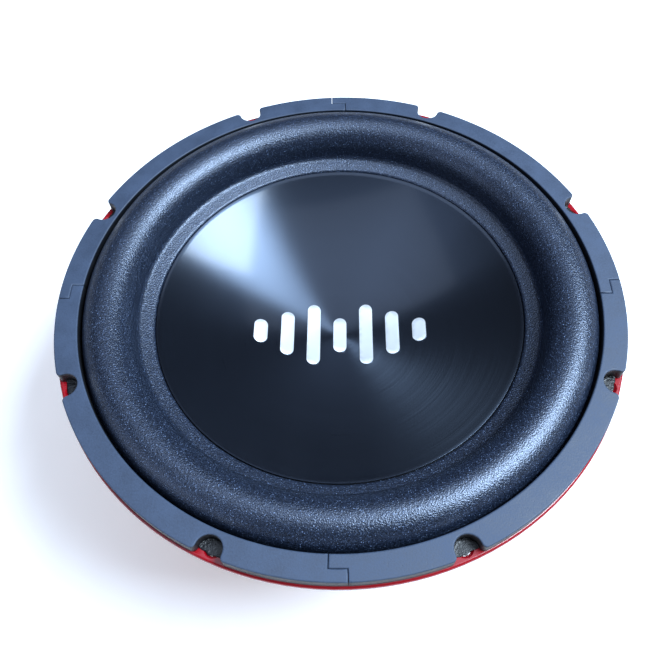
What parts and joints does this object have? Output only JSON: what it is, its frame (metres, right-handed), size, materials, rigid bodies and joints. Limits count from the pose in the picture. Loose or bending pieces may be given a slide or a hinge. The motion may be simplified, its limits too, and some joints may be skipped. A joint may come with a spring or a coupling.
{
  "type": "subwoofer speaker",
  "caption": "Round car subwoofer driver: foam half-roll surround, concave glossy dish, pressed red frame with windows, stacked ring magnet in a rubber boot and push terminals.",
  "frame": {"origin": "centre of the magnet boot's back face, on the surface the speaker stands on", "axes": "+Z forwards along the cone's axis, +X through terminal block a, +Y a quarter turn anticlockwise seen from the front"},
  "size_m": [0.3126, 0.3126, 0.1517],
  "materials": {
    "frame_paint": "gloss baked enamel over pressed steel",
    "gasket_foam": "matt closed-cell foam",
    "surround_foam": "coarse open foam with a fine glitter grain",
    "cone_paper": "pressed paper, felted",
    "dish_gloss": "spun and lacquered gloss black",
    "emblem_silver": "polished foil",
    "magnet_steel": "zinc plated",
    "ferrite": "ground ferrite",
    "boot_rubber": "matt moulded rubber",
    "ring_aluminium": "turned",
    "rivet_steel": "zinc plated",
    "screen_steel": "perforated and blackened",
    "former_aluminium": "anodised sheet",
    "winding_copper": "enamelled copper wire",
    "collar_paper": "wrapped kraft paper",
    "spider_cloth": "resin-stiffened cotton weave",
    "terminal_plastic": "moulded black",
    "contact_brass": "tinned brass strip",
    "button_red": "moulded red",
    "button_black": "moulded black",
    "spring_steel": "drawn wire",
    "lead_braid": "braided tinsel wire",
    "pad_glue": "black cement"
  },
  "bodies": {
    "frame": {"basket": "frame_paint", "frame_rivets": "rivet_steel", "gasket_segment_1": "gasket_foam", "gasket_segment_2": "gasket_foam", "gasket_segment_3": "gasket_foam", "gasket_segment_4": "gasket_foam", "top_plate": "magnet_steel", "magnet_front": "ferrite", "magnet_rear": "ferrite", "yoke": "magnet_steel", "shorting_ring": "ring_aluminium", "magnet_boot": "boot_rubber", "vent_screen": "screen_steel", "terminal_block_a": "terminal_plastic", "terminal_block_b": "terminal_plastic", "terminal_cover_a": "terminal_plastic", "terminal_cover_b": "terminal_plastic", "terminal_contacts_a": "contact_brass", "terminal_contacts_b": "contact_brass", "terminal_rivets": "rivet_steel", "tinsel_lead_a_negative": "lead_braid", "tinsel_lead_a_positive": "lead_braid", "tinsel_lead_b_negative": "lead_braid", "tinsel_lead_b_positive": "lead_braid"},
    "cone_assembly": {"surround": "surround_foam", "cone": "cone_paper", "dish": "dish_gloss", "emblem": "emblem_silver", "former": "former_aluminium", "winding_inner": "winding_copper", "winding_outer": "winding_copper", "coil_collar": "collar_paper", "spider": "spider_cloth", "lead_pads": "pad_glue"},
    "button_a_negative": {"button_a_negative": "button_black", "button_spring_a_negative": "spring_steel"},
    "button_a_positive": {"button_a_positive": "button_red", "button_spring_a_positive": "spring_steel"},
    "button_b_negative": {"button_b_negative": "button_black", "button_spring_b_negative": "spring_steel"},
    "button_b_positive": {"button_b_positive": "button_red", "button_spring_b_positive": "spring_steel"}
  },
  "joints": [
    {"name": "cone_travel", "type": "slide", "parent": "frame", "child": "cone_assembly", "axis": [0, 0, 1], "range_m": [-0.012, 0.012], "stiffness_N_per_m": 4500, "deforming": ["surround", "spider", "tinsel_lead_a_negative", "tinsel_lead_a_positive", "tinsel_lead_b_negative", "tinsel_lead_b_positive"]},
    {"name": "press_a_negative", "type": "slide", "parent": "frame", "child": "button_a_negative", "axis": [-1, 0, 0], "range_m": [0, 0.0025], "stiffness_N_per_m": 600, "springref_m": -0.002, "deforming": ["button_spring_a_negative"]},
    {"name": "press_a_positive", "type": "slide", "parent": "frame", "child": "button_a_positive", "axis": [-1, 0, 0], "range_m": [0, 0.0025], "stiffness_N_per_m": 600, "springref_m": -0.002, "deforming": ["button_spring_a_positive"]},
    {"name": "press_b_negative", "type": "slide", "parent": "frame", "child": "button_b_negative", "axis": [1, 0, 0], "range_m": [0, 0.0025], "stiffness_N_per_m": 600, "springref_m": -0.002, "deforming": ["button_spring_b_negative"]},
    {"name": "press_b_positive", "type": "slide", "parent": "frame", "child": "button_b_positive", "axis": [1, 0, 0], "range_m": [0, 0.0025], "stiffness_N_per_m": 600, "springref_m": -0.002, "deforming": ["button_spring_b_positive"]}
  ]
}
